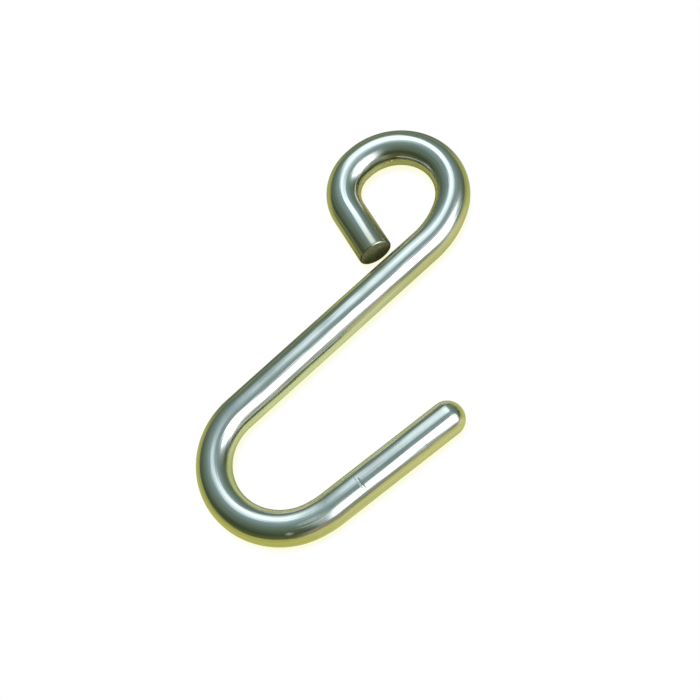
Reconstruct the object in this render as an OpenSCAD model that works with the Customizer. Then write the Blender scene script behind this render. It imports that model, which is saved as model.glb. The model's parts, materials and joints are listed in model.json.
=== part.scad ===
// Hook bent from one length of round steel wire: a nearly closed eye at the top, a straight
// shank and an open hook at the bottom. It lies flat on the floor, z = 0, with its shank
// along Y, its eye towards -X and its free leg towards +X.

/* [Wire] */
// Diameter of the round steel wire
wire_d = 6; // [3:0.5:8]
// How much thinner in radius a bend is than the straights, so that their faces join cleanly
bend_draw = 0.02; // [0.01:0.01:0.04]
// Straight length left between one bend and the next
link_len = 0.5; // [0.5:0.5:5]

/* [Shank] */
// Straight length of the shank, from the eye's neck to the hook's bend
shank_len = 42.4; // [30:0.2:120]

/* [Eye] */
// Inside radius of the neck, where the shank leans over into the eye
neck_inside_r = 12.5; // [8:0.5:30]
// Angle through which the neck turns
neck_turn = 27; // [15:1:40]
// Inside diameter of the eye's main bend
eye_inside_d = 13; // [11:0.5:30]
// Inside radius of the tighter bend that closes the eye
closing_inside_r = 4.5; // [3:0.5:8]
// Angle through which the closing bend turns
closing_turn = 77; // [50:1:100]
// Angle between the eye's tail and a line square to the shank
tail_slant = 13; // [5:1:25]
// Gap left between the tail's cut end and the shank
tail_gap = 1.4; // [0.4:0.1:3]
// Width of the broken edge round the cut end
cut_edge = 0.2; // [0.1:0.1:0.6]

/* [Hook] */
// Inside diameter of the hook's main bend
hook_inside_d = 17; // [10:0.5:40]
// Inside radius of the gentler bend at the hook's mouth
mouth_inside_r = 12; // [8:0.5:30]
// Angle through which the mouth's bend turns
mouth_turn = 9; // [5:1:30]
// Angle by which the free leg leans away from the shank
leg_flare = 5; // [0:1:20]
// Straight length of the free leg, up to its round tip
leg_len = 23.5; // [10:0.5:60]

/* [Hidden] */
$fn = 96;

wire_r = wire_d / 2;
neck_r = neck_inside_r + wire_r;
eye_r = eye_inside_d / 2 + wire_r;
closing_r = closing_inside_r + wire_r;
hook_r = hook_inside_d / 2 + wire_r;
mouth_r = mouth_inside_r + wire_r;

// A bend is drawn thinner than the straights, and its ends lap into them.
bend_wire_r = wire_r - bend_draw;
bend_lap = 5 * bend_draw;

// The eye turns from the shank's line right round to the tail, and the hook to the free leg.
eye_turn = 270 - neck_turn - closing_turn - tail_slant;
hook_turn = 180 - mouth_turn - leg_flare;

// A pose is a place on the wire's centre line and the heading there, in degrees: [x, y, heading].
function past_straight(pose, length) =
    [pose.x + length * cos(pose.z), pose.y + length * sin(pose.z), pose.z];
function past_bend(pose, radius, turn) =
    [pose.x + radius * (sin(pose.z + turn) - sin(pose.z)),
     pose.y - radius * (cos(pose.z + turn) - cos(pose.z)),
     pose.z + turn];

// From the shank's top round the eye to its tail
neck_start = [0, shank_len / 2, 90];
neck_end = past_bend(neck_start, neck_r, neck_turn);
eye_start = past_straight(neck_end, link_len);
eye_end = past_bend(eye_start, eye_r, eye_turn);
closing_start = past_straight(eye_end, link_len);
tail_start = past_bend(closing_start, closing_r, closing_turn);
tail_reach = -tail_start.x - wire_r - tail_gap - wire_r * sin(tail_slant);
tail_len = tail_reach / cos(tail_slant);

// From the shank's foot round the hook to its free leg
hook_start = [0, -shank_len / 2, -90];
hook_end = past_bend(hook_start, hook_r, hook_turn);
mouth_start = past_straight(hook_end, link_len);
leg_start = past_bend(mouth_start, mouth_r, mouth_turn);
leg_end = past_straight(leg_start, leg_len);

// The part's origin is under the middle of its own box.
function points_round(pose, radius, turn) =
    [for (angle = [0 : 1 : turn]) past_bend(pose, radius, angle)];
bend_points = concat(points_round(neck_start, neck_r, neck_turn),
                     points_round(eye_start, eye_r, eye_turn),
                     points_round(closing_start, closing_r, closing_turn),
                     points_round(hook_start, hook_r, hook_turn),
                     points_round(mouth_start, mouth_r, mouth_turn),
                     [leg_end]);
xs = [for (point = bend_points) point.x];
ys = [for (point = bend_points) point.y];
middle_x = (min(xs) + max(xs)) / 2;
middle_y = (min(ys) + max(ys)) / 2;

module at(pose) {
    translate([pose.x, pose.y, 0]) rotate(pose.z) children();
}

// A straight of the wire, along +X from the origin
module straight(length) {
    rotate([0, 90, 0]) cylinder(h = length, r = wire_r);
}

// A bend of the wire, leaving the origin along +X and turning left
module bend(radius, turn) {
    lap_turn = bend_lap / radius * 180 / PI;
    translate([0, radius, 0])
        rotate_extrude(angle = turn + 2 * lap_turn, start = -90 - lap_turn)
            translate([radius, 0]) circle(r = bend_wire_r);
}

// The tail ends in a sheared face with its edge broken.
module tail() {
    straight(tail_len - cut_edge);
    translate([tail_len - cut_edge, 0, 0])
        rotate([0, 90, 0]) cylinder(h = cut_edge, r1 = wire_r, r2 = wire_r - cut_edge);
}

// The free leg ends in a round tip.
module free_leg() {
    straight(leg_len);
    translate([leg_len, 0, 0]) rotate([0, 90, 0]) sphere(r = wire_r);
}

module hook() {
    color("silver") translate([-middle_x, -middle_y, wire_r]) {
        at(neck_start) bend(neck_r, neck_turn);
        at(neck_end) straight(link_len);
        at(eye_start) bend(eye_r, eye_turn);
        at(eye_end) straight(link_len);
        at(closing_start) bend(closing_r, closing_turn);
        at(tail_start) tail();

        translate([0, -shank_len / 2, 0]) rotate(90) straight(shank_len);

        at(hook_start) bend(hook_r, hook_turn);
        at(hook_end) straight(link_len);
        at(mouth_start) bend(mouth_r, mouth_turn);
        at(leg_start) free_leg();
    }
}

hook();
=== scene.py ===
import json
import math

import bpy
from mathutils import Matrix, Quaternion, Vector


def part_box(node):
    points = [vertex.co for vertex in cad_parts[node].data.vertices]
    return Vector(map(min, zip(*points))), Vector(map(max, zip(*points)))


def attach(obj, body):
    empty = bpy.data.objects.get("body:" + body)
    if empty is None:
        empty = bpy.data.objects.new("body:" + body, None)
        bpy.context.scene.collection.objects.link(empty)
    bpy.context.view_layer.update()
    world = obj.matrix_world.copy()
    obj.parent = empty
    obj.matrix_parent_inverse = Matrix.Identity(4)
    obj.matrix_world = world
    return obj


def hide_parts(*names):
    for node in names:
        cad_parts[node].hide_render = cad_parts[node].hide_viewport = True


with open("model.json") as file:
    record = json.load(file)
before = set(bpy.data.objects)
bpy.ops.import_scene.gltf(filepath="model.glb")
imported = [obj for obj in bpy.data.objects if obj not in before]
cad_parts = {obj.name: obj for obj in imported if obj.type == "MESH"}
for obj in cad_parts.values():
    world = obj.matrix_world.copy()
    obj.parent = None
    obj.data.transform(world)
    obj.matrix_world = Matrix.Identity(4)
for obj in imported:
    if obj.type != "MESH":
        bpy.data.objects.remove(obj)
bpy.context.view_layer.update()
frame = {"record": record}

# ---------------------------------------------------------------------------------------------
# The wire. The whole hook is one length of round mild steel, sheared off at the eye's tail and
# rounded at the free leg's tip. It is bent cold round pins, first the eye and then the hook, and
# zinc plated bright afterwards, so the plating runs on over the bends.

mounts = {mount["name"]: mount for mount in frame["record"]["mounts"]}
leg = mounts["free_leg"]
leg_len = leg["dims"]["length_mm"] / 1000
leg_heading = math.atan2(leg["axis"][1], leg["axis"][0])

# The bends are laid out by the solid's wire, and the wire seen is a hair thinner.
bare_r = leg["dims"]["r_mm"] / 1000
thinner = 0.000023
wire_r = bare_r - thinner

# From the cut end to the free leg: inside radii, turns and the straights between the bends.
tail_len = 0.00923
cut_edge = 0.0003
closing_inside_r, closing_turn = 0.0045, math.radians(77)
eye_inside_r, eye_turn = 0.0065, math.radians(153)
neck_inside_r, neck_turn = 0.0125, math.radians(27)
shank_len = 0.0424
hook_inside_r, hook_turn = 0.0085, math.radians(166)
mouth_inside_r, mouth_turn = 0.012, math.radians(9)
link_len = 0.0005

# The wire is pulled out ring by ring. Each ring keeps how far along the wire it is, where its
# middle is and which way the wire heads there.
sides = 96
ring_gap = 0.0004
tail_heading = leg_heading - mouth_turn - hook_turn + neck_turn + eye_turn + closing_turn
rings = [(cut_edge, Vector((0, 0, bare_r)), tail_heading)]


def ahead(heading):
    return Vector((math.cos(heading), math.sin(heading), 0))


def pull_straight(length, gap=ring_gap):
    """Pulls the open end straight on by a length."""
    count = max(1, round(length / gap))
    along, middle, heading = rings[-1]
    for step in range(1, count + 1):
        bpy.ops.mesh.extrude_region_move(
            TRANSFORM_OT_translate={"value": ahead(heading) * length / count})
        done = length * step / count
        rings.append((along + done, middle + ahead(heading) * done, heading))


def pull_bend(inside_r, turn):
    """Pulls the open end round a bend. A turn to the left is positive."""
    along, middle, heading = rings[-1]
    radius = inside_r + bare_r
    arc = radius * abs(turn)
    count = round(arc / ring_gap)
    to_centre = ahead(heading + math.copysign(math.pi / 2, turn)) * radius
    centre = middle + to_centre
    bpy.ops.mesh.spin(steps=count, angle=-turn, center=centre, axis=(0, 0, 1))
    for step in range(1, count + 1):
        swing = Quaternion((0, 0, 1), turn * step / count)
        rings.append((along + arc * step / count, centre - swing @ to_centre,
                      heading + turn * step / count))


def round_off(middle, direction, radius, end_r, steps):
    """Rounds the open end off by a radius, down to a flat of end_r. Returns how far on each new
    ring is, and its middle."""
    made = []
    for step in range(1, steps + 1):
        before = math.pi / 2 * (step - 1) / steps
        now = math.pi / 2 * step / steps
        move = direction * radius * (math.sin(now) - math.sin(before))
        at = middle + direction * radius * math.sin(now)
        shrink = (end_r + radius * math.cos(now)) / (end_r + radius * math.cos(before))
        bpy.ops.mesh.extrude_region_move(TRANSFORM_OT_translate={"value": move})
        bpy.ops.transform.resize(value=(shrink, shrink, shrink), center_override=at)
        made.append((radius * math.sin(now), at))
    return made


bpy.ops.object.select_all(action="DESELECT")
bpy.ops.mesh.primitive_circle_add(
    vertices=sides, radius=wire_r, location=rings[0][1],
    rotation=(-math.pi / 2, 0, tail_heading - math.pi / 2))
wire = bpy.context.object
wire.name = "bent_wire"
bpy.ops.object.transform_apply()
bpy.ops.object.mode_set(mode="EDIT")
bpy.ops.mesh.select_all(action="SELECT")

pull_straight(tail_len - cut_edge)
pull_bend(closing_inside_r, -closing_turn)
pull_straight(link_len)
eye_along = rings[-1][0]
pull_bend(eye_inside_r, -eye_turn)
pull_straight(link_len)
pull_bend(neck_inside_r, -neck_turn)
pull_straight(shank_len)
hook_along = rings[-1][0]
pull_bend(hook_inside_r, hook_turn)
pull_straight(link_len)
pull_bend(mouth_inside_r, mouth_turn)

# The free leg has closer rings where it is nicked.
nick_up_leg = 0.0058
nick_room = 0.0006
nick_ring_gap = 0.00005
pull_straight(nick_up_leg - nick_room)
pull_straight(2 * nick_room, gap=nick_ring_gap)
nick_along = rings[-1][0] - nick_room
pull_straight(leg_len - nick_up_leg - nick_room)

# The tip is ground round, and its pole is closed to one point.
along, middle, heading = rings[-1]
tip = round_off(middle, ahead(heading), wire_r, 0.0, steps=18)
rings += [(along + step, at, heading) for step, at in tip]
bpy.ops.mesh.merge(type="CENTER")

# The other end is the shear's cut face, with its edge rolled over.
face_rings = 9
face_ring_gap = 0.0003
bpy.ops.object.mode_set(mode="OBJECT")
for vertex in wire.data.vertices:
    vertex.select = vertex.index < sides
bpy.ops.object.mode_set(mode="EDIT")
round_off(rings[0][1], -ahead(tail_heading), cut_edge, wire_r - cut_edge, steps=4)
bpy.ops.mesh.edge_face_add()
for _ in range(face_rings):
    bpy.ops.mesh.inset(thickness=face_ring_gap)
bpy.ops.mesh.poke()
bpy.ops.mesh.select_all(action="SELECT")
bpy.ops.mesh.normals_make_consistent(inside=False)
bpy.ops.object.mode_set(mode="OBJECT")

# The wire goes where the solid is.
solid_low, solid_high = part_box("hook")
corners = [Vector(corner) for corner in wire.bound_box]
low = Vector(min(corner[axis] for corner in corners) for axis in range(3))
high = Vector(max(corner[axis] for corner in corners) for axis in range(3))
shift = (solid_low + solid_high) / 2 - (low + high) / 2
wire.location = shift
bpy.ops.object.transform_apply()
rings = [(along, middle + shift, heading) for along, middle, heading in rings]

# Every point keeps its place in the wire as it was before bending, for the marks that run along
# the wire: how far along, how far to the left and how far up.
straightened = wire.data.attributes.new("straightened", "FLOAT_VECTOR", "POINT")
tip_point = (len(rings) - 1) * sides
for vertex in wire.data.vertices:
    ring = vertex.index // sides if vertex.index <= tip_point else 0
    along, middle, heading = rings[ring]
    out = vertex.co - middle
    left = ahead(heading + math.pi / 2)
    straightened.data[vertex.index].vector = (
        along + out.dot(ahead(heading)), out.dot(left), out.z)


def in_patch(along_from, along_to, round_from, round_to):
    """The points in a patch of the wire, and how far in from its edges each one is, 0 to 1.
    Degrees round the wire go from its left side up over its top."""
    placed = wire.data.attributes["straightened"].data
    found = {}
    for vertex in wire.data.vertices:
        along, left, up = placed[vertex.index].vector
        round_at = math.degrees(math.atan2(up, left)) % 360
        if along_from < along < along_to and round_from < round_at < round_to:
            along_in = min(along - along_from, along_to - along) / (along_to - along_from)
            round_in = min(round_at - round_from, round_to - round_at) / (round_to - round_from)
            found[vertex.index] = 4 * along_in * round_in
    return found


def rub(amount, *patch):
    """Dulls a patch of the wire, most at its middle. A larger amount leaves it rougher."""
    for index, inside in in_patch(*patch).items():
        wire.data.attributes["rubbed"].data[index].value = amount * min(1, 2 * inside)


def press(depth, *patch):
    """Presses a patch of the wire in."""
    bpy.ops.object.mode_set(mode="EDIT")
    bpy.ops.mesh.select_all(action="DESELECT")
    bpy.ops.object.mode_set(mode="OBJECT")
    chosen = in_patch(*patch)
    for vertex in wire.data.vertices:
        vertex.select = vertex.index in chosen
    bpy.ops.object.mode_set(mode="EDIT")
    bpy.ops.transform.shrink_fatten(value=-depth)
    bpy.ops.object.mode_set(mode="OBJECT")


wire.data.attributes.new("rubbed", "FLOAT", "POINT")

# The free leg's nick: a groove pressed in three times, each time narrower, its faint end, and
# its side towards the bend rubbed dull.
nick_depth = 0.000007
for before, beyond in ((0.00008, 0.00030), (0.00005, 0.00020), (0.00002, 0.00010)):
    press(nick_depth, nick_along - before, nick_along + beyond, 84, 126)
press(0.000006, nick_along - 0.00003, nick_along + 0.00013, 124, 196)
rub(1.4, nick_along - 0.00042, nick_along, 66, 134)

# Small dents from handling: one by the tip and one in the eye.
tip_dent = rings[-1][0] - 0.0089
press(0.00002, tip_dent - 0.0003, tip_dent + 0.0003, 127, 140)
press(0.00003, eye_along + 0.0062, eye_along + 0.0084, 312, 320)

# Patches rubbed dull: a scuff low on the outside of the hook's bend, one where the bend runs
# into the leg, and one in the eye.
scuff = hook_along + math.radians(144) * (hook_inside_r + bare_r)
rub(1.5, scuff - 0.0007, scuff + 0.0008, 120, 132)
rub(0.9, hook_along + 0.0290, hook_along + 0.0362, 98, 126)
rub(0.5, eye_along - 0.0050, eye_along + 0.0020, 108, 156)

bpy.ops.object.shade_smooth_by_angle(angle=math.radians(50))


def add_node(tree, kind, sockets, **settings):
    """Adds a shader node, sets it up and gives each named socket a link or a value."""
    added = tree.nodes.new("ShaderNode" + kind)
    for name, setting in settings.items():
        setattr(added, name, setting)
    for name, given in sockets.items():
        if isinstance(given, bpy.types.NodeSocket):
            tree.links.new(given, added.inputs[name])
        else:
            added.inputs[name].default_value = given
    return added


# Fine pits, which both finishes of the steel have: their height and where they lie deepest.
pits = bpy.data.node_groups.new("fine_pits", "ShaderNodeTree")
pits.interface.new_socket("Place", in_out="INPUT", socket_type="NodeSocketVector")
pits.interface.new_socket("Per Metre", in_out="INPUT", socket_type="NodeSocketFloat")
pits.interface.new_socket("Height", in_out="OUTPUT", socket_type="NodeSocketFloat")
pits.interface.new_socket("Deep", in_out="OUTPUT", socket_type="NodeSocketFloat")
given = pits.nodes.new("NodeGroupInput").outputs
result = pits.nodes.new("NodeGroupOutput").inputs
grain = add_node(pits, "TexNoise", {
    "Vector": given["Place"], "Scale": given["Per Metre"], "Detail": 3.0, "Roughness": 0.6})
deep = add_node(pits, "MapRange", {
    "Value": grain.outputs["Fac"], "From Min": 0.36, "From Max": 0.26})
pits.links.new(grain.outputs["Fac"], result["Height"])
pits.links.new(deep.outputs["Result"], result["Deep"])

# The plating: bright, from bluish to yellowish, with the die's draw lines showing through along
# the wire. It is a little dull and warm towards the cut end.
bluish, yellowish = (0.70, 0.76, 0.80, 1), (0.82, 0.80, 0.74, 1)
pit_grey = (0.58, 0.60, 0.58, 1)
dull_warm, dull_len = (0.62, 0.58, 0.50, 1), 0.007
plate = bpy.data.materials.new("bright_zinc_plate")
plate.use_nodes = True
tree = plate.node_tree
surface = tree.nodes["Principled BSDF"]
surface.inputs["Metallic"].default_value = 1.0
in_wire = add_node(tree, "Attribute", {}, attribute_name="straightened")
drawn = add_node(tree, "VectorMath", {0: in_wire.outputs["Vector"], 1: (70, 2200, 2200)},
                 operation="MULTIPLY")
lines = add_node(tree, "TexNoise", {
    "Vector": drawn.outputs["Vector"], "Scale": 1.0, "Detail": 2.0, "Roughness": 0.5})
rolled = add_node(tree, "VectorMath", {0: in_wire.outputs["Vector"], 1: (140, 260, 260)},
                  operation="MULTIPLY")
swell = add_node(tree, "TexNoise", {
    "Vector": rolled.outputs["Vector"], "Scale": 1.0, "Detail": 1.0, "Roughness": 0.4})
spots = add_node(tree, "Group", {"Place": in_wire.outputs["Vector"], "Per Metre": 3200.0},
                 node_tree=pits)
heights = [(lines.outputs["Fac"], 0.035), (swell.outputs["Fac"], 0.120),
           (spots.outputs["Height"], 0.002)]
height = 0.0
for part, millimetres in heights:
    height = add_node(tree, "Math", {0: part, 1: millimetres, 2: height},
                      operation="MULTIPLY_ADD").outputs["Value"]
relief = add_node(tree, "Bump", {"Height": height, "Distance": 0.001, "Strength": 1.0})
tree.links.new(relief.outputs["Normal"], surface.inputs["Normal"])

blotch = add_node(tree, "TexNoise", {
    "Vector": in_wire.outputs["Vector"], "Scale": 420.0, "Detail": 4.0, "Roughness": 0.65})
tint = add_node(tree, "Mix", {
    "Factor": blotch.outputs["Fac"], "A": bluish, "B": yellowish},
    data_type="RGBA")
dyed = add_node(tree, "Mix", {
    "Factor": 0.22, "A": tint.outputs["Result"], "B": lines.outputs["Color"]},
    data_type="RGBA", blend_type="OVERLAY")
streaked = add_node(tree, "MapRange", {
    "Value": lines.outputs["Fac"], "From Min": 0.3, "From Max": 0.5, "To Min": 0.86})
shaded = add_node(tree, "Mix", {
    "Factor": 1.0, "A": dyed.outputs["Result"], "B": streaked.outputs["Result"]},
    data_type="RGBA", blend_type="MULTIPLY")
pitted = add_node(tree, "Mix", {
    "Factor": spots.outputs["Deep"], "A": shaded.outputs["Result"], "B": pit_grey},
    data_type="RGBA")
from_cut = add_node(tree, "SeparateXYZ", {"Vector": in_wire.outputs["Vector"]})
dulled = add_node(tree, "MapRange", {
    "Value": from_cut.outputs["X"], "From Min": dull_len, "From Max": 0.0})
finished = add_node(tree, "Mix", {
    "Factor": dulled.outputs["Result"], "A": pitted.outputs["Result"], "B": dull_warm},
    data_type="RGBA")
tree.links.new(finished.outputs["Result"], surface.inputs["Base Color"])
worn = add_node(tree, "MapRange", {
    "Value": blotch.outputs["Fac"], "From Min": 0.3, "From Max": 0.7, "To Min": 0.12,
    "To Max": 0.20})

# A rubbed patch is rougher, and most along the draw lines that stand up.
dulling = add_node(tree, "Attribute", {}, attribute_name="rubbed")
scratchy = add_node(tree, "MapRange", {
    "Value": lines.outputs["Fac"], "From Min": 0.35, "From Max": 0.6, "To Max": 0.6})
rougher = add_node(tree, "Math", {
    0: dulling.outputs["Fac"], 1: scratchy.outputs["Result"], 2: worn.outputs["Result"]},
    operation="MULTIPLY_ADD")
tree.links.new(rougher.outputs["Value"], surface.inputs["Roughness"])
wire.data.materials.append(plate)

# The cut face is torn steel, thinly plated over: dull, dark and stained, with a few pale flecks
# painted in as glints.
olive_stain, brown_stain = (0.38, 0.46, 0.18, 1), (0.66, 0.54, 0.37, 1)
painted_glint = (0.95, 1.00, 0.85, 1)
torn = bpy.data.materials.new("sheared_steel")
torn.use_nodes = True
tree = torn.node_tree
surface = tree.nodes["Principled BSDF"]
surface.inputs["Metallic"].default_value = 0.95
at = add_node(tree, "TexCoord", {}).outputs["Object"]
pitting = add_node(tree, "Group", {"Place": at, "Per Metre": 1300.0}, node_tree=pits)
tear = add_node(tree, "Bump", {
    "Height": pitting.outputs["Height"], "Distance": 0.00025, "Strength": 1.0})
tree.links.new(tear.outputs["Normal"], surface.inputs["Normal"])
stain = add_node(tree, "TexNoise", {"Vector": at, "Scale": 750.0, "Detail": 3.0})
uneven = add_node(tree, "MapRange", {
    "Value": stain.outputs["Fac"], "From Min": 0.38, "From Max": 0.62})
stained = add_node(tree, "Mix", {
    "Factor": uneven.outputs["Result"], "A": olive_stain, "B": brown_stain},
    data_type="RGBA")
# Painted glints: pale flecks where the pits lie deepest.
glint_flecked = add_node(tree, "Mix", {
    "Factor": pitting.outputs["Deep"], "A": stained.outputs["Result"], "B": painted_glint},
    data_type="RGBA")
tree.links.new(glint_flecked.outputs["Result"], surface.inputs["Base Color"])
surface.inputs["Roughness"].default_value = 0.5
wire.data.materials.append(torn)
for face in wire.data.polygons:
    if face.normal.dot(-ahead(tail_heading)) > 0.95 and (face.center - rings[0][1]).length < bare_r:
        face.material_index = 1

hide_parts("hook")
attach(wire, "root")

# ---------------------------------------------------------------------------------------------
# The floor. A plain pale sheet of card that the hook lies flat on. It is seen white, with a little
# painted yellow shade where it runs in under the wire, and the plating mirrors its warm tint,
# which has painted shadows and painted light in it.

bpy.ops.object.select_all(action="DESELECT")
bpy.ops.mesh.primitive_plane_add(size=4.0, location=(0, 0, 0))
floor = bpy.context.object
floor.name = "floor"
card = bpy.data.materials.new("pale_card")
card.use_nodes = True
tree = card.node_tree
tree.nodes.remove(tree.nodes["Principled BSDF"])

# The tint has painted shade and light in it: a painted shadow darkens it beyond the shank and
# beyond the eye, and painted light makes it paler in the hook's mouth, as if the wire threw light
# on it. Each stretch is a soft-edged oval.
eye_at = Vector(mounts["eye"]["pos_m"])
seat_at = Vector(mounts["hook_seat"]["pos_m"])
# The card's own warm tint, then the colours of its painted shadows and its painted light.
warm, painted_light_warm = (0.298, 0.281, 0.069, 1), (0.355, 0.370, 0.150, 1)
painted_shadow_warm, painted_shadow_grey = (0.060, 0.070, 0.050, 1), (0.060, 0.070, 0.060, 1)
painted_shade_and_light = [
    (eye_at + Vector((-0.0120, -0.0358, 0)), (0.018, 0.019, 1), painted_shadow_warm),
    (eye_at + Vector((-0.0240, 0.0212, 0)), (0.025, 0.025, 1), painted_shadow_grey),
    (seat_at + Vector((-0.0008, 0.0243, 0)), (0.011, 0.024, 1), painted_light_warm),
]
place = add_node(tree, "TexCoord", {}).outputs["Object"]
tint = warm
for middle, reach, colour in painted_shade_and_light:
    away = add_node(tree, "VectorMath", {0: place, 1: middle}, operation="SUBTRACT")
    share = add_node(tree, "VectorMath", {0: away.outputs["Vector"], 1: reach}, operation="DIVIDE")
    far = add_node(tree, "VectorMath", {0: share.outputs["Vector"]}, operation="LENGTH")
    within = add_node(tree, "MapRange", {
        "Value": far.outputs["Value"], "From Min": 1.15, "From Max": 0.6},
        interpolation_type="SMOOTHSTEP")
    mixed = add_node(tree, "Mix", {
        "Factor": within.outputs["Result"], "A": tint, "B": colour}, data_type="RGBA")
    tint = mixed.outputs["Result"]
mirrored = add_node(tree, "BsdfPrincipled", {"Base Color": tint, "IOR": 2.0, "Roughness": 0.2})

# Painted contact shade: where the wire lies close over the floor, the white it is seen in is
# painted pale yellow.
hidden = add_node(tree, "AmbientOcclusion", {"Distance": 0.0015})
open_sky = add_node(tree, "MapRange", {
    "Value": hidden.outputs["AO"], "From Min": 0.5, "From Max": 1.0})
white_with_painted_shade = add_node(tree, "Mix", {
    "Factor": open_sky.outputs["Result"], "A": (0.96, 0.96, 0.72, 1), "B": (1, 1, 1, 1)},
    data_type="RGBA")
white = add_node(tree, "Emission", {"Color": white_with_painted_shade.outputs["Result"]})
ray = add_node(tree, "LightPath", {})
seen = add_node(tree, "MixShader", {
    "Fac": ray.outputs["Is Camera Ray"], 1: mirrored.outputs["BSDF"], 2: white.outputs["Emission"]})
tree.links.new(seen.outputs["Shader"], tree.nodes["Material Output"].inputs["Surface"])
floor.data.materials.append(card)

# ---------------------------------------------------------------------------------------------
# The light. A dim studio, lightest up on the left, with a large softbox and its glow high on the
# right, a smaller one high on the left and a low glow on the right. Each is a soft-edged patch of
# the surroundings, far away.

softbox = bpy.data.node_groups.new("softbox", "ShaderNodeTree")
for name, kind in [("Direction", "Vector"), ("Turn", "Vector"), ("Half Width", "Float"),
                   ("Half Height", "Float"), ("Width Edge", "Float"), ("Height Edge", "Float"),
                   ("Light", "Color")]:
    softbox.interface.new_socket(name, in_out="INPUT", socket_type="NodeSocket" + kind)
softbox.interface.new_socket("Light", in_out="OUTPUT", socket_type="NodeSocketColor")
given = softbox.nodes.new("NodeGroupInput").outputs
result = softbox.nodes.new("NodeGroupOutput").inputs
turned = add_node(softbox, "VectorRotate", {
    "Vector": given["Direction"], "Rotation": given["Turn"]},
    rotation_type="EULER_XYZ", invert=True)
parts = add_node(softbox, "SeparateXYZ", {"Vector": turned.outputs["Vector"]})
shone = given["Light"]
for axis, side in [("X", "Width"), ("Y", "Height")]:
    angle = add_node(softbox, "Math", {0: parts.outputs[axis], 1: parts.outputs["Z"]},
                     operation="ARCTAN2")
    away = add_node(softbox, "Math", {0: angle.outputs["Value"]}, operation="ABSOLUTE")
    inner = add_node(softbox, "Math", {0: given["Half " + side], 1: given[side + " Edge"]},
                     operation="SUBTRACT")
    outer = add_node(softbox, "Math", {0: given["Half " + side], 1: given[side + " Edge"]},
                     operation="ADD")
    fade = add_node(softbox, "MapRange", {
        "Value": away.outputs["Value"], "From Min": inner.outputs["Value"],
        "From Max": outer.outputs["Value"], "To Min": 1.0, "To Max": 0.0},
        interpolation_type="SMOOTHSTEP")
    faded = add_node(softbox, "VectorMath", {0: shone, "Scale": fade.outputs["Result"]},
                     operation="SCALE")
    shone = faded.outputs["Vector"]
softbox.links.new(shone, result["Light"])


def swung(way, tilt, roll=0):
    """The turn that takes straight up to a way round from +X and a tilt, in degrees."""
    return (Quaternion((0, 0, 1), math.radians(way)) @ Quaternion((0, 1, 0), math.radians(tilt))
            @ Quaternion((0, 0, 1), math.radians(roll)))


# The room's light by how far each way is from its lightest side, from opposite to straight there.
lightest_side = swung(137, 29) @ Vector((0, 0, 1))
room = [(0.35, (0.110, 0.115, 0.040)), (0.57, (0.048, 0.072, 0.036)),
        (0.75, (0.130, 0.172, 0.112)), (0.88, (0.172, 0.230, 0.190)),
        (0.96, (0.250, 0.350, 0.350)), (1.00, (0.330, 0.440, 0.450))]
studio = bpy.data.worlds.new("studio")
bpy.context.scene.world = studio
studio.use_nodes = True
tree = studio.node_tree
direction = add_node(tree, "TexCoord", {}).outputs["Generated"]
facing = add_node(tree, "VectorMath", {0: direction, 1: lightest_side}, operation="DOT_PRODUCT")
nearness = add_node(tree, "Math", {0: facing.outputs["Value"], 1: 0.5, 2: 0.5},
                    operation="MULTIPLY_ADD")
walls = add_node(tree, "ValToRGB", {"Fac": nearness.outputs["Value"]})
for nearness_at, _ in room[1:-1]:
    walls.color_ramp.elements.new(nearness_at)
for stop, (nearness_at, colour) in zip(walls.color_ramp.elements, room):
    stop.position = nearness_at
    stop.color = (*colour, 1)
lit = walls.outputs["Color"]

# Where each softbox is: its way round from +X, its tilt from straight up and its roll, then its
# half width and half height, the softness of both edges, and its light.
softboxes = {
    "key": (27.0, 49.5, 55.0, 20.0, 21.5, 7.0, 8.0, (1.70, 1.80, 1.87)),
    "key_glow": (29.0, 51.0, 55.0, 20.0, 24.0, 20.0, 22.0, (0.90, 0.97, 1.02)),
    "low_glow": (8.0, 76.0, 0.0, 38.0, 12.0, 12.0, 7.0, (0.20, 0.185, 0.16)),
    "fill": (143.5, 41.0, 24.0, 13.5, 19.0, 5.0, 14.0, (1.02, 1.11, 1.12)),
}
for name, (way, tilt, roll, half_w, half_h, edge_w, edge_h, light) in softboxes.items():
    box = add_node(tree, "Group", {
        "Direction": direction, "Turn": swung(way, tilt, 90 + roll).to_euler("XYZ"),
        "Half Width": math.radians(half_w), "Half Height": math.radians(half_h),
        "Width Edge": math.radians(edge_w), "Height Edge": math.radians(edge_h),
        "Light": (*light, 1)}, node_tree=softbox, name=name)
    total = add_node(tree, "VectorMath", {0: lit, 1: box.outputs["Light"]}, operation="ADD")
    lit = total.outputs["Vector"]

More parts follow.
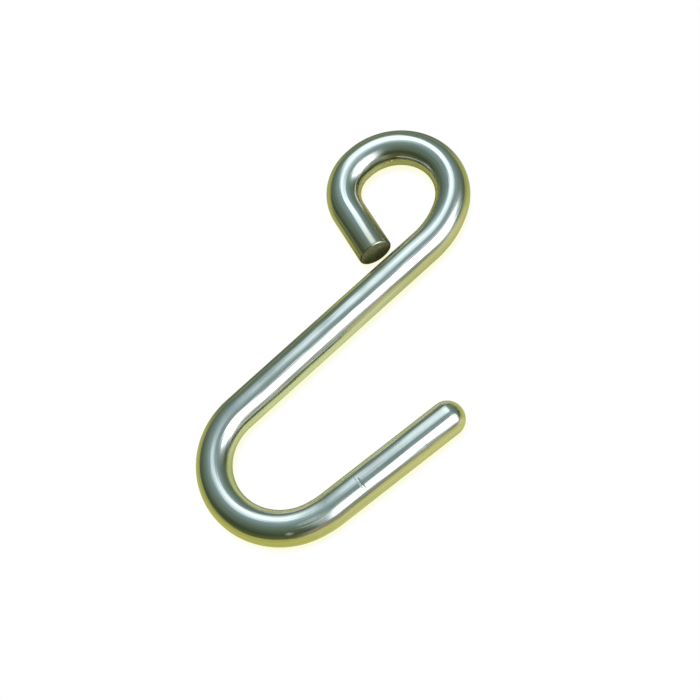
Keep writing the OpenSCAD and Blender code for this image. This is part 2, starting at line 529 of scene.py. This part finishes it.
# What is mirrored a second time, by the floor or by another stretch of the wire, is lifted and
# then held down to about white.
ray = add_node(tree, "LightPath", {})
again = add_node(tree, "Math", {0: ray.outputs["Glossy Depth"], 1: 1.5},
                 operation="GREATER_THAN")
lifted = add_node(tree, "VectorMath", {0: lit, "Scale": 1.45}, operation="SCALE")
held = add_node(tree, "VectorMath", {0: lifted.outputs["Vector"], 1: (1.15, 1.10, 1.00)},
                operation="MINIMUM")
all_light = add_node(tree, "Mix", {
    "Factor": again.outputs["Value"], "A": lit, "B": held.outputs["Vector"]}, data_type="RGBA")

# The backdrop is seen white.
backdrop = add_node(tree, "Mix", {
    "Factor": ray.outputs["Is Camera Ray"], "A": all_light.outputs["Result"], "B": (1, 1, 1, 1)},
    data_type="RGBA")
tree.links.new(backdrop.outputs["Result"], tree.nodes["Background"].inputs["Color"])
bpy.context.scene.view_settings.view_transform = "Standard"

# A low lamp on the camera's side lights the floor, and isn't mirrored in the plating.
lamp_way = swung(-30, 62) @ Vector((0, 0, 1))
lamp_distance = 0.6
bpy.ops.object.light_add(type="AREA", location=lamp_way * lamp_distance)
lamp = bpy.context.object
lamp.name = "floor_lamp"
lamp.rotation_mode = "QUATERNION"
lamp.rotation_quaternion = lamp_way.to_track_quat("Z", "Y")
lamp.data.shape = "DISK"
lamp.data.size = 0.3
lamp.data.energy = 11.5
lamp.visible_glossy = False

# ---------------------------------------------------------------------------------------------
# The camera. It looks down on the hook from beyond the free leg, and is rolled so that the
# shank runs up to the right.

look_at = Vector((0.002226, -0.001181, 0.003045))
camera_way, camera_height = math.radians(-24.144), math.radians(64.97)
camera_roll = math.radians(-20)
camera_distance = 0.294516
toward = Vector((math.cos(camera_height) * math.cos(camera_way),
                 math.cos(camera_height) * math.sin(camera_way), math.sin(camera_height)))
bpy.ops.object.camera_add(location=look_at + toward * camera_distance)
camera = bpy.context.object
camera.rotation_mode = "QUATERNION"
camera.rotation_quaternion = ((-toward).to_track_quat("-Z", "Y")
                              @ Quaternion((0, 0, 1), camera_roll))
camera.data.lens = 91.93
camera.data.sensor_width = 36
bpy.context.scene.camera = camera
